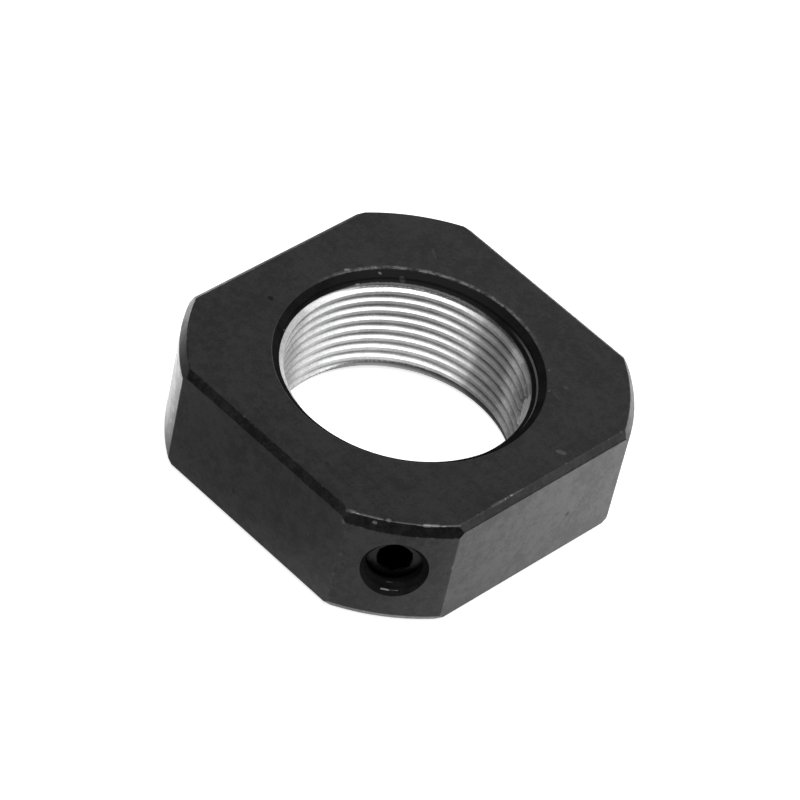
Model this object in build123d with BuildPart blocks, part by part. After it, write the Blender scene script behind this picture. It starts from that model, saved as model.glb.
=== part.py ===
"""Square bearing lock nut, M20 x 1, with two radial set screws and their locking pads.

The nut is turned from round bar, so its corners are arcs of one circle, and four wrench
flats are milled on it. A fine thread runs through the middle. Two neighbouring corners hold
an M5 hole each, with a socket set screw that presses a soft pad on the shaft's thread.

Frame: origin in the middle of the clamping face, +Z along the bore, flats across X and Y.
Sizes are in millimetres. Threads are drawn plain: an empty threaded wall at its inside
diameter, and a screw and the wall that it turns in at their outside diameter.
"""

from build123d import *
from math import radians, sqrt, tan
import os

# Nut blank: bar, flats and the chamfers of their edges
across_flats = 30.0
corner_diameter = 35.0
thickness = 10.0
corner_chamfer_in = 0.5
corner_chamfer_down = 0.8
flat_chamfer_in = 0.53
flat_chamfer_down = 0.45

# Main thread, the open mouth above it and the chamfer on the clamping side
thread_diameter = 20.0
thread_pitch = 1.0
mouth_diameter = 21.1
mouth_depth = 0.4
relief_depth = 0.62
clamping_side_chamfer = 0.6

# Radial screw holes: height above the clamping face, and the corner each stands in, in degrees
screw_hole_height = 5.5
screw_hole_angles = {"front": -45.0, "side": 45.0}
countersink_diameter = 5.5
countersink_angle = 90.0

# Socket set screws with a flat point
screw_diameter = 5.0
screw_pitch = 0.8
screw_length = 4.0
screw_end_chamfer = 0.4
screw_point_diameter = 3.5
socket_across_flats = 2.5
socket_depth = 1.5
socket_drill_angle = 118.0

# Locking pads
pad_length = 2.6
pad_edge_chamfer = 0.15
pad_setback = 0.05

# Fits and travel
running_clearance = 0.05
pad_to_screw_gap = 0.05
inward_travel = 0.2


def internal_thread_depth(pitch):
    """How far a metric internal thread stands in from its outside radius."""
    return 5 / 16 * sqrt(3) * pitch


# Radii that follow
thread_radius = thread_diameter / 2
bore_radius = thread_radius - internal_thread_depth(thread_pitch)
corner_radius = corner_diameter / 2
screw_hole_radius = screw_diameter / 2
screw_radius = screw_hole_radius - running_clearance
pad_hole_radius = screw_hole_radius - internal_thread_depth(screw_pitch)
pad_radius = pad_hole_radius - running_clearance

# Stations along a screw's axis, measured from the bore's axis
pad_end = bore_radius + pad_setback
screw_point = pad_end + pad_length + pad_to_screw_gap
screw_socket = screw_point + screw_length
screw_thread_end = screw_point - inward_travel - running_clearance


def corner_plane(angle, station):
    """Plane square to a corner's screw axis, facing out of the nut, with its X axis up."""
    outward = Vector(1, 0, 0).rotate(Axis.Z, angle)
    centre = outward * station + Vector(0, 0, screw_hole_height)
    return Plane(origin=centre, x_dir=(0, 0, 1), z_dir=outward)


def edge_profile(reach, chamfer_in, chamfer_down):
    """Points of a chamfered edge's section, from the clamping face to the open face."""
    return [
        (0, 0),
        (reach - chamfer_in, 0),
        (reach, chamfer_down),
        (reach, thickness - chamfer_down),
        (reach - chamfer_in, thickness),
        (0, thickness),
    ]


with BuildPart() as nut_body:
    # Turned blank
    with BuildSketch(Plane.XZ):
        with BuildLine():
            Polyline(edge_profile(corner_radius, corner_chamfer_in, corner_chamfer_down), close=True)
        make_face()
    revolve(axis=Axis.Z)

    # Four milled flats, as two pairs
    for pair in (Plane.XZ, Plane.YZ):
        with BuildSketch(pair):
            with BuildLine():
                Polyline(edge_profile(across_flats / 2, flat_chamfer_in, flat_chamfer_down))
                mirror(about=Plane.YZ)
            make_face()
        extrude(amount=corner_radius, both=True, mode=Mode.INTERSECT)

    # Bore, with a relief and a wide chamfer at its open mouth
    with BuildSketch(Plane.XZ):
        with BuildLine():
            Polyline(
                (0, 0),
                (bore_radius + clamping_side_chamfer, 0),
                (bore_radius, clamping_side_chamfer),
                (bore_radius, thickness - relief_depth - internal_thread_depth(thread_pitch)),
                (thread_radius, thickness - relief_depth),
                (thread_radius, thickness - mouth_depth),
                (mouth_diameter / 2, thickness),
                (0, thickness),
                close=True,
            )
        make_face()
    revolve(axis=Axis.Z, mode=Mode.SUBTRACT)

    # Screw holes: drilled into the bore, opened for the screw, countersunk at the corner
    for angle in screw_hole_angles.values():
        with Locations(corner_plane(angle, corner_radius)):
            Hole(radius=pad_hole_radius, depth=corner_radius)
            CounterSinkHole(
                radius=screw_hole_radius,
                counter_sink_radius=countersink_diameter / 2,
                depth=corner_radius - screw_thread_end,
                counter_sink_angle=countersink_angle,
            )

os.makedirs("parts", exist_ok=True)
nut_body.part.label = "nut_body"
export_step(nut_body.part, "parts/nut_body.step")

for corner, angle in screw_hole_angles.items():
    point_plane = corner_plane(angle, screw_point)
    socket_plane = corner_plane(angle, screw_socket)
    outward_axis = Axis(point_plane.origin, point_plane.z_dir)

    # Set screw: shank, chamfered socket end, flat point, and a drilled hexagon socket
    with BuildPart() as set_screw:
        with BuildSketch(point_plane):
            Circle(screw_radius)
        extrude(amount=screw_length)
        socket_end = set_screw.faces().sort_by(outward_axis)[-1]
        chamfer(socket_end.edges(), length=screw_end_chamfer)
        point_end = set_screw.faces().sort_by(outward_axis)[0]
        chamfer(point_end.edges(), length=screw_radius - screw_point_diameter / 2)
        with BuildSketch(socket_plane):
            RegularPolygon(socket_across_flats / 2, side_count=6, major_radius=False)
        extrude(amount=-socket_depth, mode=Mode.SUBTRACT)
        with Locations(-corner_plane(angle, screw_socket - socket_depth)):
            Cone(
                bottom_radius=socket_across_flats / 2,
                top_radius=0,
                height=socket_across_flats / 2 / tan(radians(socket_drill_angle / 2)),
                align=(Align.CENTER, Align.CENTER, Align.MIN),
                mode=Mode.SUBTRACT,
            )

    # Locking pad: plain slug with broken edges, between the screw's point and the bore
    with BuildPart() as locking_pad:
        with BuildSketch(corner_plane(angle, pad_end)):
            Circle(pad_radius)
        extrude(amount=pad_length)
        chamfer(locking_pad.edges().filter_by(GeomType.CIRCLE), length=pad_edge_chamfer)

    set_screw.part.label = f"set_screw_{corner}"
    locking_pad.part.label = f"locking_pad_{corner}"
    export_step(set_screw.part, f"parts/set_screw_{corner}.step")
    export_step(locking_pad.part, f"parts/locking_pad_{corner}.step")
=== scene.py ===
from functools import reduce
from math import cos, pi, radians, sin, sqrt, tan

import bmesh
import bpy
import numpy as np
from mathutils import Matrix, Vector


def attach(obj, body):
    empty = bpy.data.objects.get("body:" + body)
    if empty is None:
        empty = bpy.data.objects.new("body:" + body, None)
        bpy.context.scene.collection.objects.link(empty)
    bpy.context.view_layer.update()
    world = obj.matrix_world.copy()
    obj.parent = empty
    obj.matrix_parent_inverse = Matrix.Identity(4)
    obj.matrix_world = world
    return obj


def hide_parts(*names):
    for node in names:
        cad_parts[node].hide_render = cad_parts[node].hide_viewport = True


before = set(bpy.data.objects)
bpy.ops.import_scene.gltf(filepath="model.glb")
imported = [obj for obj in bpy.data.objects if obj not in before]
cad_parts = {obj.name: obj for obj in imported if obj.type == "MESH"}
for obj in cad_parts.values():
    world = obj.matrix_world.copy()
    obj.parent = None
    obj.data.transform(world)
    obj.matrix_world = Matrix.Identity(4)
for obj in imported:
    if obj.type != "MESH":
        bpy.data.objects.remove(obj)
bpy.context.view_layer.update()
mm = 0.001  # in Blender's metres


def newObject(name, data):
    thing = bpy.data.objects.new(name, data)
    bpy.context.scene.collection.objects.link(thing)
    return thing


# Unit vector towards an azimuth and an elevation, both in degrees.
def heading(azimuth, elevation):
    a, e = radians(azimuth), radians(elevation)
    return Vector((cos(e) * cos(a), cos(e) * sin(a), sin(e)))


camera = {
    "target": (-0.792, 0.875, 5.0),  # mm, a point on the optical axis
    "azimuth": -52.7264, "elevation": 43.1260, "roll": 13.2171,  # degrees
    "distance": 338.122,  # mm
    "lens": 198.690, "sensor": 36.0,  # mm
}


# The camera stands at target + distance * heading and looks back along that line; side = Z x back and
# up = back x side, both turned by the roll about the line.
def placeCamera(c):
    back = heading(c["azimuth"], c["elevation"])
    side = Vector((0, 0, 1)).cross(back).normalized()
    up = back.cross(side)
    data = bpy.data.cameras.new("camera")
    data.sensor_width, data.lens = c["sensor"], c["lens"]
    viewer = newObject("camera", data)
    roll = radians(c["roll"])
    turned = Matrix((side * cos(roll) + up * sin(roll), up * cos(roll) - side * sin(roll), back))
    place = (Vector(c["target"]) + back * c["distance"]) * mm
    viewer.matrix_world = Matrix.Translation(place) @ turned.transposed().to_4x4()
    bpy.context.scene.camera = viewer


placeCamera(camera)
bpy.context.scene.view_settings.view_transform = "Standard"
print("camera placed")


def newPiece(name, points, faces):
    mesh = bpy.data.meshes.new(name)
    mesh.from_pydata(points, [], faces)
    return newObject(name, mesh)


# A grid of points, points[row, column], whose columns join round. Faces look out when rows run
# along the axis and columns turn anticlockwise. The rows join round too, or end in flat discs.
def gridPiece(name, points, ringShaped=False):
    rows, columns = points.shape[:2]
    index = np.arange(rows * columns).reshape(rows, columns)
    beside, above = np.roll(index, -1, axis=1), np.roll(index, -1, axis=0)
    quads = np.stack([index, beside, np.roll(above, -1, axis=1), above], axis=-1)
    faces = (quads if ringShaped else quads[:-1]).reshape(-1, 4).tolist()
    if not ringShaped:
        faces += [index[0, ::-1].tolist(), index[-1].tolist()]
    return newPiece(name, points.reshape(-1, 3), faces)


# Each inner corner p of a path gives way to (1-u)^2 a + 2u(1-u) p + u^2 b, with a and b on its two
# legs at the distance reach from p. Returns the points of those curves only, not the path's ends.
def roundedPath(path, reach, steps=4):
    path = np.array(path, float)
    legs = np.diff(path, axis=0)
    legs /= np.linalg.norm(legs, axis=1)[:, None]
    corner = path[1:-1, None]
    before, after = corner - reach * legs[:-1, None], corner + reach * legs[1:, None]
    u = np.linspace(0, 1, steps + 1)[None, :, None]
    return ((1 - u) ** 2 * before + 2 * u * (1 - u) * corner + u**2 * after).reshape(-1, 2)


# A turned shape about +Z: each (radius, height) of the profile becomes a ring of points.
def turnedPiece(name, profile, columns=96):
    profile = np.array(profile, float)
    angle = np.arange(columns) * 2 * pi / columns
    radius, height = profile[:, :1], profile[:, 1:]
    points = np.stack([radius * np.cos(angle), radius * np.sin(angle), height + 0 * angle], axis=-1)
    return gridPiece(name, points)


# A straight hexagonal bar along Z, with a corner on X.
def hexagonBar(name, acrossFlats, low, high):
    corners = acrossFlats / sqrt(3) * np.exp(1j * np.arange(6) * pi / 3)
    ring = np.stack([corners.real, corners.imag, 0 * corners.real], axis=-1)
    return gridPiece(name, np.stack([ring + (0, 0, low), ring + (0, 0, high)]))


# A right-hand threaded rod about +Z. Point (i, j) stands at the angle 2 pi i / steps and the height
# start + pitch * (station_j + i / steps): the profile of one pitch repeats up the rod, and column
# steps is column 0 moved up by one pitch. Fans to the axis close both ends.
def threadedRod(name, profile, pitch, start, turns, steps):
    station, radius = np.array(profile, float).T
    perTurn = len(station)
    j = np.arange(turns * perTurn)
    i = np.arange(steps)[:, None]
    angle = 2 * pi * i / steps
    height = start + pitch * (station[j % perTurn] + j // perTurn + i / steps)
    around = radius[j % perTurn]
    points = np.stack([around * np.cos(angle), around * np.sin(angle), height], axis=-1)
    index = np.arange(steps * len(j)).reshape(steps, len(j))
    here, beside = index[:-1], index[1:]
    walls = np.stack([here[:, :-1], beside[:, :-1], beside[:, 1:], here[:, 1:]], axis=-1).reshape(-1, 4)
    last, first = index[-1, :-perTurn], index[0, perTurn:]
    seam = np.stack([last[:-1], first[:-1], first[1:], last[1:]], axis=-1)
    bottom = np.concatenate([index[:, 0], index[0, perTurn:0:-1]])
    top = np.concatenate([index[:, -1], index[-1, -2:-2 - perTurn:-1]])
    low, high = points.size // 3, points.size // 3 + 1
    lowFan = np.stack([np.roll(bottom, -1), bottom, np.full_like(bottom, low)], axis=-1)
    highFan = np.stack([top, np.roll(top, -1), np.full_like(top, high)], axis=-1)
    middle = [[0, 0, start + pitch / 2], [0, 0, height[0, -1] + pitch / 2]]
    faces = walls.tolist() + seam.tolist() + lowFan.tolist() + highFan.tolist()
    return newPiece(name, np.vstack([points.reshape(-1, 3), middle]), faces)


# Makes the piece's modifiers real.
def bake(piece):
    shown = piece.evaluated_get(bpy.context.evaluated_depsgraph_get())
    mesh = bpy.data.meshes.new_from_object(shown)
    old = piece.data
    piece.modifiers.clear()
    piece.data = mesh
    bpy.data.meshes.remove(old)


# Takes the tool away from the piece, or keeps what both share. Faces keep the material they came with.
def carve(piece, tool, operation="DIFFERENCE"):
    step = piece.modifiers.new("carve", "BOOLEAN")
    step.operation, step.object = operation, tool
    step.solver, step.material_mode = "EXACT", "TRANSFER"
    bpy.context.view_layer.update()
    bake(piece)
    bpy.data.objects.remove(tool)


# Smooth faces with crisp edges, normals led by the large faces, and millimetres made metres.
def finishPiece(piece, body, slot, *nodes, crisp=28):
    piece.data.shade_smooth()
    piece.data.set_sharp_from_angle(angle=radians(crisp))
    weighted = piece.modifiers.new("weighted", "WEIGHTED_NORMAL")
    weighted.mode, weighted.keep_sharp = "FACE_AREA_WITH_ANGLE", True
    bpy.context.view_layer.update()
    bake(piece)
    piece.data.transform(Matrix.Scale(mm, 4))
    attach(piece, body)
    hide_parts(*nodes)
    print(f"{piece.name}: {len(piece.data.polygons)} faces")


# Joins or fills a node's inputs. A name that stands twice on a node, such as a Mix node's A and B, goes
# by number.
def feed(tree, node, inputs):
    for name, value in inputs.items():
        if isinstance(value, bpy.types.NodeSocket):
            tree.links.new(value, node.inputs[name])
        else:
            node.inputs[name].default_value = value


# Adds a node, sets its settings and feeds its inputs.
def add(tree, kind, inputs=None, **settings):
    node = tree.nodes.new("ShaderNode" + kind)
    for name, value in settings.items():
        setattr(node, name, value)
    feed(tree, node, inputs or {})
    return node


def maths(tree, operation, *values):
    return add(tree, "Math", dict(enumerate(values)), operation=operation).outputs[0]


def times(tree, *values):
    return reduce(lambda product, value: maths(tree, "MULTIPLY", product, value), values)


def largest(tree, *values):
    return reduce(lambda top, value: maths(tree, "MAXIMUM", top, value), values)


# The value, held between two limits.
def held(tree, value, low, high):
    return maths(tree, "MINIMUM", largest(tree, value, low), high)


# Length of the vector (a, b).
def hypot(tree, a, b):
    return maths(tree, "SQRT", maths(tree, "ADD", times(tree, a, a), times(tree, b, b)))


# Vector maths, whose result is a plain number for some operations.
def vectorMaths(tree, operation, *values):
    outputs = add(tree, "VectorMath", dict(enumerate(values)), operation=operation).outputs
    return outputs["Value" if operation in ("DISTANCE", "DOT_PRODUCT", "LENGTH") else "Vector"]


# Falls smoothly from 1 at the value near to 0 at the value far, or rises where near is the larger.
def fade(tree, value, near, far):
    inputs = {"Value": value, "From Min": near, "From Max": far, "To Min": 1.0, "To Max": 0.0}
    return add(tree, "MapRange", inputs, interpolation_type="SMOOTHSTEP").outputs[0]


# 1 between two inner limits, and 0 outside the two outer ones.
def band(tree, value, low, innerLow, innerHigh, high):
    return times(tree, fade(tree, value, innerLow, low), fade(tree, value, innerHigh, high))


# Noise from 0 to 1, with its scale per mm.
def noise(tree, place, scale, detail, roughness):
    inputs = {"Vector": place, "Scale": scale, "Detail": detail, "Roughness": roughness}
    return add(tree, "TexNoise", inputs).outputs["Fac"]


# The noises that a finish names.
def noises(tree, place, finish, *kinds):
    return [noise(tree, place, *finish[kind]) for kind in kinds]


# A noise moved to about zero, which frays a border that it is added to.
def centred(tree, value):
    return maths(tree, "SUBTRACT", value, 0.5)


# Two noises in one: this share of the coarse one, and the rest of the fine one.
def mixNoises(tree, coarse, fine, share=0.5):
    return maths(tree, "MULTIPLY_ADD", coarse, share, times(tree, fine, 1 - share))


# From the first colour at factor 0 to the second at factor 1.
def blendColour(tree, factor, first, second):
    return add(tree, "Mix", {0: factor, 6: first, 7: second}, data_type="RGBA").outputs[2]


# From the first number at factor 0 to the second at factor 1.
def blendValue(tree, factor, first, second):
    inputs = {"Value": factor, "To Min": first, "To Max": second}
    return add(tree, "MapRange", inputs).outputs[0]


# A number that runs from middle - by to middle + by as the factor runs from 0 to 1.
def spread(tree, factor, middle, by):
    return blendValue(tree, factor, middle - by, middle + by)


def grey(value):
    return (value, value, value, 1.0)


# A grey that runs between two shares of its level as the mottle runs from 0 to 1.
def mottledGrey(tree, mottle, level, shares):
    return blendColour(tree, mottle, *(grey(min(1, level * share)) for share in shares))


# A bump of a height from 0 to 1, over a depth in mm.
def bump(tree, height, depth):
    return add(tree, "Bump", {"Height": height, "Strength": 1.0, "Distance": depth * mm}).outputs[0]


# The place on the object in mm.
def objectPlace(tree):
    return vectorMaths(tree, "MULTIPLY", add(tree, "TexCoord").outputs["Object"], (1 / mm,) * 3)


def emptyMaterial(name):
    material = bpy.data.materials.new(name)
    material.use_nodes = True
    material.node_tree.nodes.clear()
    return material, material.node_tree


# A material with its surface, and the place on the object in mm, whole and as x, y, z.
def newMaterial(name):
    material, tree = emptyMaterial(name)
    surface = add(tree, "BsdfPrincipled")
    add(tree, "OutputMaterial", {0: surface.outputs[0]})
    place = objectPlace(tree)
    return material, tree, surface, place, add(tree, "SeparateXYZ", {0: place}).outputs


nut = {
    "acrossFlats": 30.0, "cornerDiameter": 35.0, "thickness": 10.0,  # mm
    "flatChamfer": (0.53, 0.45), "cornerChamfer": (0.5, 0.8),  # in, down
    "edgeRounding": 0.05,
    "mouthDiameter": 21.1, "mouthDepth": 0.4, "reliefDepth": 0.62,
    "clampingSideChamfer": 0.6,
    "columns": (40, 22, 5),  # on a flat, on a corner arc, on the edge between them
    "bendSteps": 7, "edgeSteps": 6,  # rows on the bend at a chamfer's foot, and on the edge of a face
}

mainThread = {
    "diameter": 20.0, "pitch": 1.0,  # mm
    "opened": 0.03,  # how far its crest is cut back from the plain wall, within its tolerance
    "reliefGap": 0.015,  # the thread's root stays this far inside the relief
    "start": -2.49, "turns": 14,  # pitches above the clamping face, and how many
    "steps": 240,
}

screwHole = {
    "height": 5.5, "corners": {"front": -45.0, "side": 45.0},  # mm, degrees
    "countersinkDiameter": 5.5,  # 90 degree cone
    "coneReach": (-1.0, 1.5),  # mm from the corner's surface, inwards and outwards
    "threadDiameter": 5.0, "pitch": 0.8,
    "opened": 0.03, "rootGap": 0.01,  # how far the thread's crest is cut back, and its root stops short
    "threadStart": 11.0,  # mm from the bore's axis; its first turn is cut in part
    "turns": 9, "steps": 96,
    "padHole": (-1.5, 1.0),  # mm, from inside the bore's wall to past the thread's start
}


# How far a metric internal thread stands in from its outside radius: 5/8 of the height of a
# triangle with 60 degree flanks, which is 5/16 * sqrt(3) * pitch.
def threadDepth(pitch):
    return 5 / 16 * sqrt(3) * pitch


# 0 below -e, t above e, and the parabola (t + e)^2 / 4e between them: a rounded bend.
def softRamp(t, e):
    return np.where(t < -e, 0, np.where(t > e, t, (t + e) ** 2 / (4 * e)))


# Levels of the outside and how far the flats and the corner arcs reach there:
# half the width - slope * ramp past the chamfer's low edge, at both ends alike. On the last edge the
# level runs as t - e (1-u)^2 and the reach loses e u^2, so that it turns onto the face.
def outsideRows(n):
    e, t = n["edgeRounding"], n["thickness"]
    u = np.linspace(0, 1, n["edgeSteps"])
    bend = e * np.linspace(-1, 1, n["bendSteps"])
    upper = np.concatenate([t - n["cornerChamfer"][1] + bend, t - n["flatChamfer"][1] + bend,
                            t - e * (1 - u) ** 2])
    inset = np.concatenate([np.zeros(2 * len(bend)), e * u**2])
    level, inset = np.concatenate([t - upper[::-1], upper]), np.concatenate([inset[::-1], inset])

    def reach(width, chamfer):
        ramps = softRamp(level - t + chamfer[1], e) + softRamp(chamfer[1] - level, e)
        return width / 2 - chamfer[0] / chamfer[1] * ramps - inset

    return level, reach(n["acrossFlats"], n["flatChamfer"]), reach(n["cornerDiameter"], n["cornerChamfer"])


# Outline of a square with turned corners, as complex numbers. A quarter is the flat x = flat from
# -half to half, with half = sqrt(corner^2 - flat^2), then an arc of radius corner. Where they meet at p
# the edge is (1-u)^2 a + 2u(1-u) p + u^2 b. The quarter times 1, i, -1 and -i gives the four sides.
def squareOutline(flat, corner, columns, e):
    flat, corner = flat[:, None], corner[:, None]
    half = np.sqrt(corner**2 - flat**2)
    first = np.arctan2(half, flat) + e / corner
    last = pi / 2 - first
    onFlat, onArc, onEdge = (np.arange(k) / k for k in columns)

    def edge(a, p, b):
        return (1 - onEdge) ** 2 * a + 2 * onEdge * (1 - onEdge) * p + onEdge**2 * b

    flatEnd, nextFlat = flat + 1j * (half - e), half - e + 1j * flat
    quarter = np.hstack([
        flat + 1j * (half - e) * (2 * onFlat - 1),
        edge(flatEnd, flat + 1j * half, corner * np.exp(1j * first)),
        corner * np.exp(1j * (first + (last - first) * onArc)),
        edge(corner * np.exp(1j * last), half + 1j * flat, nextFlat),
    ])
    return np.hstack([quarter * 1j**k for k in range(4)])


# The blank is one closed sheet: rows climb the outside, cross the open face, go down the bore and
# return across the clamping face. In the bore each row is a ring with the outline's own angles.
def nutBlank(n, boreRadius):
    level, flat, corner = outsideRows(n)
    e, t = n["edgeRounding"], n["thickness"]
    outline = squareOutline(flat, corner, n["columns"], 1.5 * e)
    turning = np.exp(1j * np.angle(outline[len(level) // 2]))
    mouth, relief = n["mouthDiameter"] / 2, mainThread["diameter"] / 2
    leadIn, leadOut = t - n["reliefDepth"], boreRadius + n["clampingSideChamfer"]
    inside = relief - 1.0  # a plain hole, smaller than the thread that is cut next
    # The first and last points only give the path its direction along the two faces
    rings = roundedPath([
        (mouth + 1, t), (mouth, t), (relief, t - n["mouthDepth"]), (relief, leadIn),
        (inside, leadIn - relief + inside), (inside, leadOut - inside), (leadOut, 0), (leadOut + 1, 0),
    ], e)
    across = np.vstack([outline, rings[:, :1] * turning])
    heights = np.concatenate([level, rings[:, 1]])[:, None] + 0 * across.real
    blank = gridPiece("nutBody", np.stack([across.real, across.imag, heights], axis=-1), ringShaped=True)
    for material in (blackOxide, recessOxide):
        blank.data.materials.append(material)
    centres = np.empty(3 * len(blank.data.polygons))
    blank.data.polygons.foreach_get("center", centres)
    x, y, z = centres.reshape(-1, 3).T
    inRecess = (np.hypot(x, y) < mouth - e / 3) & (z > t / 2)
    blank.data.polygons.foreach_set("material_index", inRecess.astype(np.int32))
    return blank


# From a screw hole's own frame, with X up and Z outwards, to its corner of the nut.
def cornerFrame(angle):
    c, s = cos(radians(angle)), sin(radians(angle))
    return Matrix(((0, s, c, 0), (0, -c, s, 0), (1, 0, 0, screwHole["height"]), (0, 0, 0, 1)))


# Gives a shape its material and moves it to its corner.
def placeAtCorner(piece, material, angle):
    piece.data.materials.clear()
    piece.data.materials.append(material)
    piece.data.transform(cornerFrame(angle))
    return piece


# A thread's profile over one pitch, as (share of the pitch, radius): a flat at the outer radius,
# 60 degree flanks and a flat at the inner radius, with the outer flat about the station 0.
def threadProfile(outer, inner, pitch):
    flank = (outer - inner) / sqrt(3) / pitch
    tip = 1 / 16
    return [(-tip, outer), (tip, outer), (tip + flank, inner), (1 - tip - flank, inner)]


mainRadius = mainThread["diameter"] / 2
boreRadius = mainRadius - threadDepth(mainThread["pitch"])
holeRadius = screwHole["threadDiameter"] / 2
holeCrest = holeRadius - threadDepth(screwHole["pitch"])


# Cuts the thread's faces along the plane z + tilt * x = height and gives those above it the black of
# the mouth.
def blackenMouth(piece, height, tilt):
    names = [material.name for material in piece.data.materials]
    steel, black = names.index(bareSteel.name), names.index(recessOxide.name)
    shape = bmesh.new()
    shape.from_mesh(piece.data)
    cut = [face for face in shape.faces if face.material_index == steel]
    cut += list({edge for face in cut for edge in face.edges} | {v for face in cut for v in face.verts})
    bmesh.ops.bisect_plane(shape, geom=cut, plane_co=(0, 0, height), plane_no=(tilt, 0, 1))
    for face in shape.faces:
        middle = face.calc_center_median()
        if face.material_index == steel and middle.z + tilt * middle.x > height:
            face.material_index = black
    shape.to_mesh(piece.data)
    shape.free()


# The tool for a screw hole's thread, about +Z.
def holeTap(h):
    profile = threadProfile(holeRadius - h["rootGap"], holeCrest + h["opened"], h["pitch"])
    return threadedRod("holeTap", profile, h["pitch"], h["threadStart"], h["turns"], h["steps"])


# The blank, with the thread tapped in the bore and both screw holes drilled, tapped and countersunk.
def makeNut(n, t, h):
    body = nutBlank(n, boreRadius)
    profile = threadProfile(mainRadius - t["reliefGap"], boreRadius + t["opened"], t["pitch"])
    tap = threadedRod("mainTap", profile, t["pitch"], t["start"] * t["pitch"], t["turns"], t["steps"])
    tap.data.materials.append(bareSteel)
    carve(body, tap)
    blackenMouth(body, bare["blackAbove"], bare["blackTilt"])
    sink, corner = h["countersinkDiameter"] / 2, n["cornerDiameter"] / 2
    inBore, inThread = h["padHole"]
    for angle in h["corners"].values():
        cone = turnedPiece("countersink", [(sink + reach, corner + reach) for reach in h["coneReach"]])
        hole = holeTap(h)
        wall = [(holeCrest, boreRadius + inBore), (holeCrest, h["threadStart"] + inThread)]
        plain = turnedPiece("padHole", wall)
        for tool, material in ((hole, recessOxide), (plain, bareSteel), (cone, recessOxide)):
            carve(body, placeAtCorner(tool, material, angle))
    finishPiece(body, "nut", "blackened_steel", "nut_body")


# Distance in mm from a place to the straight line between two points: the offset from the first point
# less the part of it that lies along the line, which is held between its two ends.
def nearLine(tree, place, first, second):
    along = Vector(second) - Vector(first)
    offset = vectorMaths(tree, "SUBTRACT", place, first)
    share = vectorMaths(tree, "DOT_PRODUCT", offset, along / along.length_squared)
    scale = held(tree, share, 0.0, 1.0)
    foot = add(tree, "VectorMath", {0: along, "Scale": scale}, operation="SCALE").outputs[0]
    return vectorMaths(tree, "DISTANCE", offset, foot)


# The strongest of some marks, each a line with a half width in mm and a strength, with frayed edges.
def drawMarks(tree, place, fray, marks):
    strongest = 0.0
    for first, second, width, strength in marks:
        away = maths(tree, "MULTIPLY_ADD", fray, width, nearLine(tree, place, first, second))
        strongest = largest(tree, strongest, times(tree, fade(tree, away, width, 2 * width), strength))
    return strongest


# Distance in mm to the nearest outside edge of the nut. The flats give q = max(|x|, |y|), the turned
# corners give r, and h = |z - middle| is the same at both faces. An edge is where two of them meet. The
# blunt lower edge of a chamfer wears less, so it counts as further away.
def outsideEdge(tree, x, y, z, n, bluntness):
    half, corner, top = n["acrossFlats"] / 2, n["cornerDiameter"] / 2, n["thickness"] / 2
    q = largest(tree, maths(tree, "ABSOLUTE", x), maths(tree, "ABSOLUTE", y))
    r = hypot(tree, x, y)
    h = maths(tree, "ABSOLUTE", maths(tree, "SUBTRACT", z, top))
    pairs = [(q, half, r, corner, 0.0)]
    for across, reach, (inwards, down) in ((q, half, n["flatChamfer"]), (r, corner, n["cornerChamfer"])):
        pairs += [(across, reach - inwards, h, top, 0.0), (across, reach, h, top - down, bluntness)]
    nearest = half
    for a, aEdge, b, bEdge, added in pairs:
        away = hypot(tree, maths(tree, "SUBTRACT", a, aEdge), maths(tree, "SUBTRACT", b, bEdge))
        nearest = maths(tree, "MINIMUM", nearest, maths(tree, "ADD", away, added))
    return nearest


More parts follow.
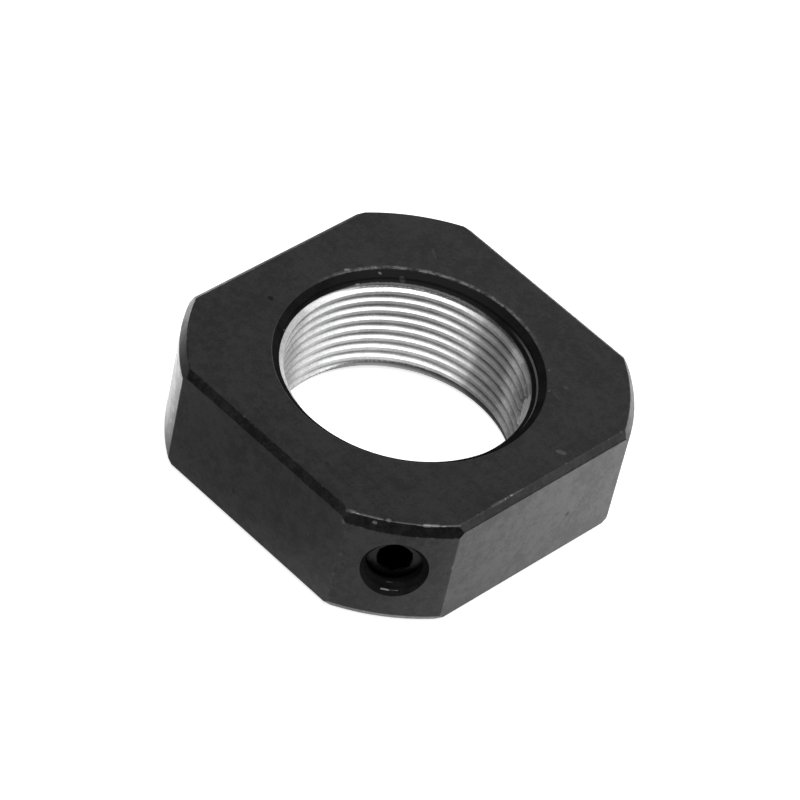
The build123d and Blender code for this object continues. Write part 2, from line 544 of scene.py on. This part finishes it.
# Every finish names its noises as (scale per mm, detail, roughness), its level and the shares of it
# that the mottle runs between, the mixed noise at which the mottle is 1 and 0, and its roughness as
# (middle, how far it moves). A pair called reach is where something is full and where it ends, in mm.
oxide = {
    "colour": 0.0065, "tones": (0.05, 2.6), "mottle": (0.58, 0.42), "roughness": (0.34, -0.05),
    "cloud": (0.3, 4, 0.6), "blotch": (1.3, 3, 0.65), "grain": (4.5, 3, 0.7), "fray": (6.0, 3, 0.7),
    "edgeNoise": (2.2, 4, 0.75), "mouthNoise": (1.4, 4, 0.75),
    "cloudShare": 0.3, "grainDepth": 0.0012,  # mm
    "wearAndHighlightColour": 0.30, "wornRoughness": 0.42, "wornMetal": 0.7,
    "edgeWidth": 0.112, "edgeBluntness": 0.05,  # mm, how far from an edge the rub reaches
    "edgeBroken": (0.78, 0.56),
    "rubbed": [  # centre, reach and how much more of the edge is rubbed there
        ((13.3, -10.2, 10.0), (0.78, 2.6), 0.14),
        ((9.5, -13.9, 10.0), (0.6, 2.0), 0.12),
        ((14.45, -3.7, 10.0), (0.54, 1.8), 0.12),
        ((-13.0, -11.6, 8.0), (1.2, 4.0), 0.08),
    ],
    "mouthRubAndHighlight": {
        "centre": (-5.6, 8.9, 10.0), "reach": (5.0, 11.5), "strength": 0.7,
        "ring": (0.14, 0.38), "frayed": 0.5,  # mm from the mouth, and how far it frays
        "broken": (0.62, 0.38),
    },
    "scuffs": [  # ends of a line, half width in mm and strength
        # Round the front corner, along the edge of the open face and on its chamfer
        ((8.50, -14.70, 10.0), (9.05, -14.32, 10.0), 0.10, 0.30),
        ((9.55, -14.02, 10.0), (10.75, -13.12, 10.0), 0.06, 0.26),
        ((11.08, -12.80, 10.0), (11.14, -12.76, 10.0), 0.10, 0.40),
        ((11.60, -12.40, 10.0), (12.85, -11.08, 10.0), 0.04, 0.18),
        ((13.03, -10.90, 10.0), (13.22, -10.64, 10.0), 0.09, 0.95),
        ((13.34, -10.48, 10.0), (13.62, -10.10, 10.0), 0.07, 0.8),
        ((13.75, -9.95, 10.0), (14.68, -8.50, 10.0), 0.05, 0.28),
        ((10.46, -13.62, 9.72), (10.58, -13.52, 9.70), 0.07, 0.6),
        # On the open face
        ((-10.42, 3.03, 10.0), (-10.32, 3.2, 10.0), 0.09, 0.75),
        ((6.54, 8.60, 10.0), (6.60, 8.58, 10.0), 0.045, 0.3),
        ((8.18, 6.96, 10.0), (8.22, 6.98, 10.0), 0.045, 0.3),
        ((6.82, 7.45, 10.0), (9.36, 6.98, 10.0), 0.035, 0.05),
        ((-8.28, 10.43, 10.0), (-7.48, 9.99, 10.0), 0.06, 0.06),
        ((13.2, 2.9, 10.0), (13.6, 3.15, 10.0), 0.12, 0.18),
        ((8.6, 8.3, 10.0), (8.7, 8.35, 10.0), 0.1, 0.08),
        # Along the edge between the open face and the right flat
        ((14.46, -5.3, 10.0), (14.49, -3.9, 10.0), 0.08, 0.16),
        ((14.47, -3.3, 10.0), (14.5, -2.1, 10.0), 0.05, 0.14),
        # On the front and the right flat
        ((8.72, -15.0, 9.18), (8.8, -15.0, 9.08), 0.09, 0.25),
        ((9.17, -15.0, 5.94), (9.3, -15.0, 5.9), 0.09, 0.12),
        ((15.0, -9.0, 6.2), (15.0, -8.98, 5.9), 0.07, 0.25),
        ((15.0, -8.6, 7.4), (15.0, -8.6, 7.3), 0.06, 0.2),
    ],
    "pits": [  # the same
        ((-11.35, -4.12, 10.0), (-11.25, -4.1, 10.0), 0.13, 0.6),
        ((4.2, -12.6, 10.0), (4.3, -12.6, 10.0), 0.1, 0.4),
        ((15.0, 3.6, 4.4), (15.0, 3.7, 4.4), 0.12, 0.35),
        ((-2.0, -15.0, 3.2), (-2.0, -15.0, 3.1), 0.12, 0.3),
    ],
    "pitColour": 0.001, "pitRoughness": 0.4,
}


def makeBlackOxide(o):
    material, tree, surface, place, (x, y, z) = newMaterial("blackOxide")
    cloud, blotch, grain, patchy, broken, fray = noises(
        tree, place, o, "cloud", "blotch", "grain", "edgeNoise", "mouthNoise", "fray")
    fray = centred(tree, fray)

    # Rub on the edges: broken up by noise, and denser near the places that are rubbed most
    for centre, reach, more in o["rubbed"]:
        near = fade(tree, vectorMaths(tree, "DISTANCE", place, centre), *reach)
        patchy = maths(tree, "MULTIPLY_ADD", near, more, patchy)
    onEdge = fade(tree, outsideEdge(tree, x, y, z, nut, o["edgeBluntness"]), 0.0, o["edgeWidth"])
    edges = times(tree, onEdge, fade(tree, patchy, *o["edgeBroken"]))

    # Rub on the open face just outside the mouth, with a painted highlight: a frayed ring that is fullest on
    # the far side, where it stands for a highlight
    m = o["mouthRubAndHighlight"]
    fromMouth = maths(tree, "SUBTRACT", hypot(tree, x, y), nut["mouthDiameter"] / 2)
    ring = fade(tree, maths(tree, "MULTIPLY_ADD", fray, m["frayed"], fromMouth), *m["ring"])
    farSide = fade(tree, vectorMaths(tree, "DISTANCE", place, m["centre"]), *m["reach"])
    mouth = times(tree, ring, farSide, fade(tree, broken, *m["broken"]), m["strength"])

    # Wear, with the ring by the mouth partly a painted highlight
    wearAndHighlight = largest(tree, edges, drawMarks(tree, place, fray, o["scuffs"]), mouth)
    pitted = drawMarks(tree, place, fray, o["pits"])
    tone = mixNoises(tree, cloud, mixNoises(tree, blotch, grain), o["cloudShare"])
    mottle = fade(tree, tone, *o["mottle"])
    dark = mottledGrey(tree, mottle, o["colour"], o["tones"])
    dark = blendColour(tree, pitted, dark, grey(o["pitColour"]))
    rough = blendValue(tree, wearAndHighlight, spread(tree, mottle, *o["roughness"]), o["wornRoughness"])
    feed(tree, surface, {
        "Base Color": blendColour(tree, wearAndHighlight, dark, grey(o["wearAndHighlightColour"])),
        # Metal with a black colour mirrors nothing, which makes the pits black
        "Metallic": largest(tree, times(tree, wearAndHighlight, o["wornMetal"]), pitted),
        "Roughness": maths(tree, "MULTIPLY_ADD", pitted, o["pitRoughness"], rough),
        "Normal": bump(tree, grain, o["grainDepth"]),
    })
    return material


recess = {
    "colour": 0.012, "tones": (0.75, 1.3), "mottle": (0.66, 0.36), "roughness": (0.55, 0.08), "gloss": 0.0,
    "cloud": (0.8, 3, 0.6), "grain": (4.0, 4, 0.65), "rimNoise": (1.6, 4, 0.75), "fray": (6.0, 3, 0.7),
    "cloudShare": 0.6, "grainDepth": 0.003,  # mm
    "farCentre": (-6.6, 7.6, 10.0), "farReach": (3.0, 9.0),
    "farSideLight": 1.7,  # share of its level on the far side, where it is painted lighter
    "rimWearAndHighlight": 0.5, "rimWidth": 0.144,  # mm
    "rimBroken": (0.92, 0.70), "rimFarHighlight": 0.22,  # fuller on the far side, as a painted highlight
    "stepHighlight": 0.55, "stepHeights": (9.24, 9.29, 9.42, 9.47),  # a painted highlight; mm, outer and inner limits
    "stepCentre": (8.4, 5.4, 9.5), "stepReach": (5.0, 9.0),
    "tapWear": 0.7, "tapSoft": 0.05, "tapRadii": (10.05, 10.15),  # mm, where the tap scraped it
    "tapRise": 0.06, "tapReach": (4.0, 7.0),  # mm, how much higher on the far side
    "paintedGlints": [  # painted glints: ends of a line, half width in mm and strength
        ((-9.25, 3.25, 9.2), (-9.18, 3.45, 9.2), 0.06, 0.9),
        ((-8.85, 5.2, 9.8), (-8.78, 5.26, 9.76), 0.06, 0.5),
        ((-7.6, 6.5, 9.5), (-7.5, 6.55, 9.35), 0.13, 0.13),
        ((-8.58, -5.06, 9.33), (-8.56, -5.1, 9.28), 0.05, 0.3),
        # Glints low in the front screw's hole
        ((11.74, -12.59, 3.13), (12.12, -12.20, 3.08), 0.04, 0.85),
        ((12.12, -12.20, 3.08), (12.62, -11.70, 3.15), 0.022, 0.4),
        ((11.66, -11.96, 3.44), (11.96, -11.65, 3.47), 0.04, 0.25),
    ],
}


# The turned mouth of the bore keeps a deeper, duller black. Its rubbed rim is fuller on the far side as a
# painted highlight, with a painted highlight on the step, painted glints, and painted light on its far side.
def makeRecessOxide(c):
    material, tree, surface, place, (x, y, z) = newMaterial("recessOxide")
    cloud, grain, patchy, fray = noises(tree, place, c, "cloud", "grain", "rimNoise", "fray")
    fray = centred(tree, fray)
    r = hypot(tree, x, y)
    toFarSide = vectorMaths(tree, "DISTANCE", place, c["farCentre"])
    farSide = fade(tree, toFarSide, *c["farReach"])

    # Wear on the rim, fuller on the far side as a painted highlight, and a painted highlight on the step on
    # the side of the screws
    outwards = maths(tree, "SUBTRACT", r, nut["mouthDiameter"] / 2)
    fromRim = hypot(tree, outwards, maths(tree, "SUBTRACT", z, nut["thickness"]))
    patchy = maths(tree, "MULTIPLY_ADD", farSide, c["rimFarHighlight"], patchy)
    onRim = fade(tree, fromRim, 0.0, c["rimWidth"])
    rim = times(tree, onRim, fade(tree, patchy, *c["rimBroken"]), c["rimWearAndHighlight"])
    nearStep = fade(tree, vectorMaths(tree, "DISTANCE", place, c["stepCentre"]), *c["stepReach"])
    step = times(tree, band(tree, z, *c["stepHeights"]), nearStep, c["stepHighlight"])

    # The tap scraped it just above its first turn, and a little higher on the far side
    height = maths(tree, "MULTIPLY_ADD", fray, bare["borderFray"], z)
    line = maths(tree, "MULTIPLY_ADD", x, bare["blackTilt"], height)
    line = maths(tree, "MULTIPLY_ADD", fade(tree, toFarSide, *c["tapReach"]), -c["tapRise"], line)
    low = fade(tree, line, bare["blackAbove"] - c["tapSoft"], bare["blackAbove"] + c["tapSoft"])
    scraped = times(tree, fade(tree, r, *c["tapRadii"]), low, c["tapWear"])

    # Wear, with the painted highlights on the rim and step and the painted glints
    wearAndHighlight = largest(tree, rim, step, scraped, drawMarks(tree, place, fray, c["paintedGlints"]))
    mottle = fade(tree, mixNoises(tree, cloud, grain, c["cloudShare"]), *c["mottle"])
    dark = mottledGrey(tree, mottle, c["colour"], c["tones"])
    # Painted light: the black is lighter towards the far side
    dark = blendColour(tree, farSide, dark, grey(c["colour"] * c["farSideLight"]))
    feed(tree, surface, {
        "Base Color": blendColour(tree, wearAndHighlight, dark, grey(oxide["wearAndHighlightColour"])),
        "Roughness": spread(tree, grain, *c["roughness"]),
        "Specular IOR Level": c["gloss"],
        "Normal": bump(tree, grain, c["grainDepth"]),
    })
    return material


bare = {
    "colour": 0.86, "tones": (0.8, 1.1), "mottle": (0.66, 0.34), "roughness": (0.44, 0.08),
    "smudge": (0.6, 4, 0.6), "chatter": (5.0, 3, 0.7),
    "lines": (1.0, 3, 0.6), "lineStretch": (0.4, 0.4, 22.0), "lineDepth": 0.0015,  # per mm on x, y, z; mm
    "blackAbove": 9.03, "blackTilt": 0.013,  # mm, where the tap began to cut into the blackened mouth
    "borderSoft": 0.04, "borderFray": 0.16,  # mm
    "blackBelow": 0.66, "blackRise": 0.1,  # mm, its lower border, and how much higher it is on the far side
    "lowSoft": 0.05,  # mm
    "blackThin": 0.25,  # share of steel that shows through there
    "farSide": ((-6.3, 7.5, 0.0), (-6.3, 7.5, 9.0)), "farReach": (4.0, 7.0),  # a line, and the reach from it
    "residue": 0.76, "residueFray": 0.2,  # black on the first turn's flank
    "residueRadii": (9.72, 9.80, 9.86, 9.91), "residueHeights": (8.2, 8.1),  # mm
    "shadeMarks": [  # painted shade down the wall and round the pad hole, as marks: ends of a line, half width in mm and strength
        ((0.4, 9.46, 0.0), (0.4, 9.46, 9.0), 1.2, 0.39),
        ((5.2, 7.9, 0.0), (5.2, 7.9, 9.0), 1.0, 0.22),
        ((-8.1, -4.9, 0.0), (-8.1, -4.9, 9.5), 2.0, 0.22),
        ((6.09, 7.25, 8.1), (5.02, 8.03, 6.2), 0.45, 0.4),
    ],
    "dull": [  # the same, with the roughness that it adds
        ((4.5, 8.3, 0.0), (4.5, 8.3, 9.0), 3.2, 0.25),
        ((-8.3, -4.6, 0.0), (-8.3, -4.6, 9.5), 2.3, 0.18),
    ],
}


# The thread's steel, with the black that the tap left above its first turn, and darker below its last.
def makeBareSteel(b):
    material, tree, surface, place, (x, y, z) = newMaterial("bareSteel")
    lines = noise(tree, vectorMaths(tree, "MULTIPLY", place, b["lineStretch"]), *b["lines"])
    smudge, chatter = noises(tree, place, b, "smudge", "chatter")
    smear, fray = centred(tree, smudge), centred(tree, chatter)
    farSide = fade(tree, nearLine(tree, place, *b["farSide"]), *b["farReach"])

    # The steel is bright between two borders, and shows a little through the darker band below the lower one
    height = maths(tree, "MULTIPLY_ADD", fray, b["borderFray"], z)
    line = maths(tree, "MULTIPLY_ADD", x, b["blackTilt"], height)
    cut = fade(tree, line, b["blackAbove"] - b["borderSoft"], b["blackAbove"] + b["borderSoft"])
    lowered = maths(tree, "MULTIPLY_ADD", farSide, -b["blackRise"], height)
    above = fade(tree, lowered, b["blackBelow"] + b["lowSoft"], b["blackBelow"] - b["lowSoft"])
    above = maths(tree, "MULTIPLY_ADD", above, 1 - b["blackThin"], b["blackThin"])

    # Some black is left on the first turn on the far side
    ragged = maths(tree, "MULTIPLY_ADD", fray, b["residueFray"], hypot(tree, x, y))
    onFlank = band(tree, ragged, *b["residueRadii"])
    residue = times(tree, farSide, onFlank, fade(tree, z, *b["residueHeights"]))
    bright = times(tree, cut, above, maths(tree, "MULTIPLY_ADD", residue, -b["residue"], 1.0))

    mottle = fade(tree, mixNoises(tree, smudge, chatter), *b["mottle"])
    steel = mottledGrey(tree, mottle, b["colour"], b["tones"])
    # Painted shade: these marks darken the steel towards black
    steel = blendColour(tree, drawMarks(tree, place, smear, b["shadeMarks"]), steel, grey(0.0))
    dull = drawMarks(tree, place, smear, b["dull"])
    feed(tree, surface, {
        "Base Color": blendColour(tree, bright, grey(recess["colour"]), steel),
        "Metallic": bright,
        "Roughness": maths(tree, "ADD", spread(tree, smudge, *b["roughness"]), dull),
        "Normal": bump(tree, lines, b["lineDepth"]),
    })
    return material


setScrew = {
    "threadDiameter": 4.9, "pitch": 0.8, "length": 4.0,  # mm
    "threadStart": -2, "turns": 11,  # pitches from the start of the hole's thread, and how many
    "endChamfer": 0.4, "pointDiameter": 3.5,
    "socketAcrossFlats": 2.5, "socketDepth": 1.5, "socketBevel": 0.12,
    "bevelReach": (-0.3, 0.2),  # mm along the cone that cuts the bevel, inwards and outwards
    "drillAngle": 118.0, "drillTip": 0.02,  # degrees, and the radius of its blunt tip
    "drillGap": 0.01, "drillOverlap": 0.02,  # mm, inside the socket's flats, and above its bottom
    "socketColumns": 48,
}

lockingPad = {
    "length": 2.6, "setback": 0.05, "gapToScrew": 0.05, "clearance": 0.05, "edge": 0.15,  # mm
    "columns": 72, "edgeSteps": 6,
}

padEnd = boreRadius + lockingPad["setback"]
screwPoint = padEnd + lockingPad["length"] + lockingPad["gapToScrew"]
screwFace = screwPoint + setScrew["length"]


# The screws' own place: how far out along the axis, and how far off it. Both stand at the same height on
# corners that mirror each other across the X axis, so |y| serves them both.
def screwPlace(tree, x, y, z):
    side = maths(tree, "ABSOLUTE", y)
    outwards = times(tree, maths(tree, "ADD", x, side), sqrt(0.5))
    across = times(tree, maths(tree, "SUBTRACT", x, side), sqrt(0.5))
    return outwards, hypot(tree, across, maths(tree, "SUBTRACT", z, screwHole["height"]))


screwOxide = {
    "colour": 0.006, "tones": (0.5, 1.6), "mottle": (0.66, 0.36), "roughness": (0.4, 0.08), "gloss": 0.35,
    "cloud": (1.2, 3, 0.6), "grain": (7.0, 4, 0.6), "grainDepth": 0.004,  # mm
    "shadeHeights": (4.9, 6.1), "shadeFray": 1.2, "shadeStrength": 0.85,  # mm
    "socketRadii": (1.3, 1.45), "socketDepths": (0.12, 0.02), "socketShadeColour": 0.0015,  # mm
}


def makeScrewSteel(c):
    material, tree, surface, place, (x, y, z) = newMaterial("screwSteel")
    cloud, grain = noises(tree, place, c, "cloud", "grain")
    outwards, off = screwPlace(tree, x, y, z)
    deep = fade(tree, outwards, *(screwFace - depth for depth in c["socketDepths"]))
    socketShade = times(tree, fade(tree, off, *c["socketRadii"]), deep)
    tone = mixNoises(tree, cloud, grain)
    dark = mottledGrey(tree, fade(tree, tone, *c["mottle"]), c["colour"], c["tones"])
    # Painted shade low on the face and in the socket, as metal with a black colour
    low = fade(tree, maths(tree, "MULTIPLY_ADD", cloud, c["shadeFray"], z), *c["shadeHeights"])
    black = largest(tree, socketShade, times(tree, low, c["shadeStrength"]))
    feed(tree, surface, {
        "Base Color": blendColour(tree, black, dark, grey(c["socketShadeColour"])),
        "Metallic": black,
        "Roughness": spread(tree, grain, *c["roughness"]),
        "Specular IOR Level": c["gloss"],
        "Normal": bump(tree, tone, c["grainDepth"]),
    })
    return material


nylon = {
    "colour": 0.78, "tones": (0.82, 1.12), "mottle": (0.66, 0.36), "roughness": (0.51, 0.09),
    "cloud": (0.9, 3, 0.6), "grain": (5.0, 4, 0.6), "grainDepth": 0.006,  # mm
}


def makePadNylon(c):
    material, tree, surface, place, _ = newMaterial("padNylon")
    cloud, grain = noises(tree, place, c, "cloud", "grain")
    mottle = fade(tree, mixNoises(tree, cloud, grain), *c["mottle"])
    feed(tree, surface, {
        "Base Color": mottledGrey(tree, mottle, c["colour"], c["tones"]),
        "Roughness": spread(tree, grain, *c["roughness"]),
        "Normal": bump(tree, grain, c["grainDepth"]),
    })
    return material


blackOxide = makeBlackOxide(oxide)
recessOxide = makeRecessOxide(recess)
bareSteel = makeBareSteel(bare)
screwSteel = makeScrewSteel(screwOxide)
padNylon = makePadNylon(nylon)
print("materials made")

makeNut(nut, mainThread, screwHole)


# A threaded rod, cut to its length with a chamfer at both ends, and a hexagon socket with a drilled
# bottom. Its thread is in step with the hole's.
def makeScrew(name, s, angle):
    crest = s["threadDiameter"] / 2
    start = screwHole["threadStart"] + s["threadStart"] * s["pitch"]
    profile = threadProfile(crest, crest - threadDepth(s["pitch"]), s["pitch"])
    screw = threadedRod(name, profile, s["pitch"], start, s["turns"], screwHole["steps"])
    slack = 0.2  # the envelope stands clear of the thread between its two chamfers
    point = s["pointDiameter"] / 2
    envelope = turnedPiece("envelope", [
        (point, screwPoint), (crest + slack, screwPoint + crest - point + slack),
        (crest + slack, screwFace - s["endChamfer"] - slack), (crest - s["endChamfer"], screwFace),
    ])
    carve(screw, envelope, "INTERSECT")
    half = s["socketAcrossFlats"] / 2
    bottom = screwFace - s["socketDepth"]
    carve(screw, hexagonBar("socket", s["socketAcrossFlats"], bottom, screwFace + 1))
    drilled = bottom - half / tan(radians(s["drillAngle"] / 2))
    drill = [(s["drillTip"], drilled), (half - s["drillGap"], bottom + s["drillOverlap"])]
    carve(screw, turnedPiece("drill", drill, s["socketColumns"]))
    bevel = [(half + s["socketBevel"] + reach, screwFace + reach) for reach in s["bevelReach"]]
    carve(screw, turnedPiece("socketMouth", bevel, s["socketColumns"]))
    return placeAtCorner(screw, screwSteel, angle)


# A plain slug with rounded edges.
def makePad(name, p, angle):
    radius, backEnd = holeCrest - p["clearance"], padEnd + p["length"]
    corners = [(0, padEnd), (radius, padEnd), (radius, backEnd), (0, backEnd)]
    pad = turnedPiece(name, roundedPath(corners, p["edge"], p["edgeSteps"]), p["columns"])
    return placeAtCorner(pad, padNylon, angle)


for corner, angle in screwHole["corners"].items():
    screw = makeScrew(f"{corner}Screw", setScrew, angle)
    finishPiece(screw, f"{corner}_screw", "screw_steel", f"set_screw_{corner}")
    pad = makePad(f"{corner}Pad", lockingPad, angle)
    finishPiece(pad, f"{corner}_pad", "pad_nylon", f"locking_pad_{corner}")


studio = {
    "floorSize": 6.0, "floorDrop": 0.02,  # m, and mm below the nut
    "floorColour": 0.9, "floorGlow": 0.8,
    # What gloss sees of the floor: level + slope * y between two limits, which ends in "far" some way out
    # and in "bore" inside the bore, and patches on it given by their centre, two reaches in mm and how
    # much lighter they are.
    # The low bore level and the darker first patch are a painted shadow of the nut on this painted floor.
    "mirror": {
        "level": 1.25, "slope": 0.03, "limits": (0.7, 1.8),
        "far": 0.35, "farReach": (28.0, 38.0), "bore": 0.28, "boreReach": (9.0, 11.0),  # mm
        "patchEdge": (0.5, 1.5),  # shares of its reaches between which a patch fades
        "patches": [
            ((-6.0, -20.5), (13.0, 7.0), -0.37), ((-24.0, -8.0), (12.0, 10.0), 1.5),
            ((-37.0, -2.0), (13.0, 10.0), 1.25), ((16.0, 42.0), (10.0, 12.0), 1.6),
            ((-8.5, 3.5), (4.0, 6.0), 0.4), ((-3.4, 4.2), (4.0, 4.0), 0.2),
        ],
    },
    "lampDistance": 1.0,  # m
    "lamps": {  # azimuth, elevation in degrees, diameter in m, and W
        "overheadLamp": (-53.0, 68.0, 0.60, 4.6), "rearLamp": (20.0, 60.0, 0.42, 2.4),
    },
    "panels": [  # azimuth, elevation and half width in degrees, and level
        (120, 40, 28, 0.34), (118, 18, 20, 1.0), (85, 25, 24, 1.04), (60, 45, 16, 0.89), (44, 30, 20, 0.95),
        (170, 25, 28, 0.2), (-90, 45, 28, 0.29),
    ],
    "panelEdge": (0.4, 1.3),  # shares of its half width between which a panel fades
}


# The strength of the floor that gloss sees.
def mirrorLevel(tree, m):
    place = objectPlace(tree)
    y = add(tree, "SeparateXYZ", {0: place}).outputs["Y"]
    level = held(tree, maths(tree, "MULTIPLY_ADD", y, m["slope"], m["level"]), *m["limits"])
    fromAxis = vectorMaths(tree, "LENGTH", place)
    level = blendValue(tree, fade(tree, fromAxis, *m["farReach"]), m["far"], level)
    level = blendValue(tree, fade(tree, fromAxis, *m["boreReach"]), level, m["bore"])
    for centre, reaches, lighter in m["patches"]:
        offset = vectorMaths(tree, "SUBTRACT", place, (*centre, 0))
        share = vectorMaths(tree, "LENGTH", vectorMaths(tree, "DIVIDE", offset, (*reaches, 1)))
        level = maths(tree, "MULTIPLY_ADD", fade(tree, share, *m["patchEdge"]), lighter, level)
    return level


# The camera sees a pale matt floor with a shadow on it, and gloss sees a painted one. From below the
# floor is clear, so that the clamping face can be looked at.
def makeFloor(s):
    reach, height = s["floorSize"] / 2, -s["floorDrop"] * mm
    corners = [(x * reach, y * reach, height) for x, y in ((-1, -1), (1, -1), (1, 1), (-1, 1))]
    floor = newPiece("floor", corners, [(0, 1, 2, 3)])
    material, tree = emptyMaterial("paleFloor")
    matt = add(tree, "BsdfDiffuse", {"Color": grey(s["floorColour"])})
    glow = add(tree, "Emission", {"Strength": s["floorGlow"]})
    shown = add(tree, "AddShader", {0: matt.outputs[0], 1: glow.outputs[0]})
    mirrored = add(tree, "Emission", {"Strength": mirrorLevel(tree, s["mirror"])})
    path = add(tree, "LightPath").outputs
    seen = add(tree, "MixShader", {0: path["Is Camera Ray"], 1: matt.outputs[0], 2: shown.outputs[0]})
    glossy = largest(tree, path["Is Glossy Ray"], path["Is Transmission Ray"])
    above = add(tree, "MixShader", {0: glossy, 1: seen.outputs[0], 2: mirrored.outputs[0]})
    below = times(tree, add(tree, "NewGeometry").outputs["Backfacing"], path["Is Camera Ray"])
    clear = add(tree, "BsdfTransparent")
    whole = add(tree, "MixShader", {0: below, 1: above.outputs[0], 2: clear.outputs[0]})
    add(tree, "OutputMaterial", {0: whole.outputs[0]})
    floor.data.materials.append(material)


# A black sky with soft panels: the sum of level * smooth step of the cosine between the direction and
# the panel's own. The camera sees white.
def makeSky(s):
    world = bpy.context.scene.world or bpy.data.worlds.new("studio")
    bpy.context.scene.world = world
    world.use_nodes = True
    tree = world.node_tree
    tree.nodes.clear()
    direction = add(tree, "TexCoord").outputs["Generated"]
    level = 0.0
    for azimuth, elevation, width, strength in s["panels"]:
        share = vectorMaths(tree, "DOT_PRODUCT", direction, heading(azimuth, elevation))
        panel = fade(tree, share, *(cos(radians(width * edge)) for edge in s["panelEdge"]))
        level = maths(tree, "MULTIPLY_ADD", panel, strength, level)
    seen = add(tree, "LightPath").outputs["Is Camera Ray"]
    background = add(tree, "Background", {"Strength": largest(tree, level, seen)})
    add(tree, "OutputWorld", {0: background.outputs[0]})


# A round lamp that faces the nut.
def makeLamp(name, azimuth, elevation, size, power, distance):
    back = heading(azimuth, elevation) * distance
    data = bpy.data.lights.new(name, "AREA")
    data.shape, data.size, data.energy = "DISK", size, power
    lamp = newObject(name, data)
    lamp.matrix_world = Matrix.Translation(back) @ back.to_track_quat("Z", "Y").to_matrix().to_4x4()


makeFloor(studio)
makeSky(studio)
for name, settings in studio["lamps"].items():
    makeLamp(name, *settings, studio["lampDistance"])
print("floor and light set")
